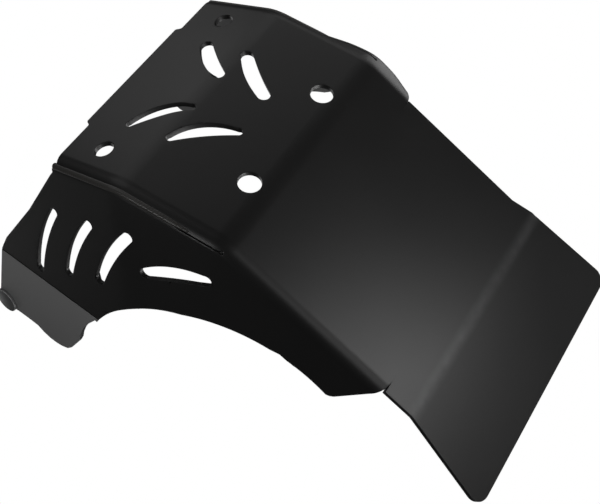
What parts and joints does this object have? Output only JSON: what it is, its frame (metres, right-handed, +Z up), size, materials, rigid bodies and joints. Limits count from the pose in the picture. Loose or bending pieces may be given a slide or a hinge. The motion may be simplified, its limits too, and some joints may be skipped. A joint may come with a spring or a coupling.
{
  "type": "motorcycle skid plate",
  "caption": "Folded sheet skid plate with rounded side wings, curved vent slots, bolt holes and a flared front lip, for the underside of a motorcycle engine.",
  "frame": {"origin": "midway between the two rear bolt holes, on the underside of the rear panel", "axes": "+Z up, +Y towards the front of the motorcycle, +X to its right, as the plate sits under the engine"},
  "size_m": [0.3362, 0.5271, 0.2757],
  "materials": {
    "satin_black_coat": "satin",
    "badge_disc": "semi-gloss"
  },
  "bodies": {
    "root": {"skid_plate": "satin_black_coat", "round_badge": "badge_disc"}
  },
  "joints": []
}
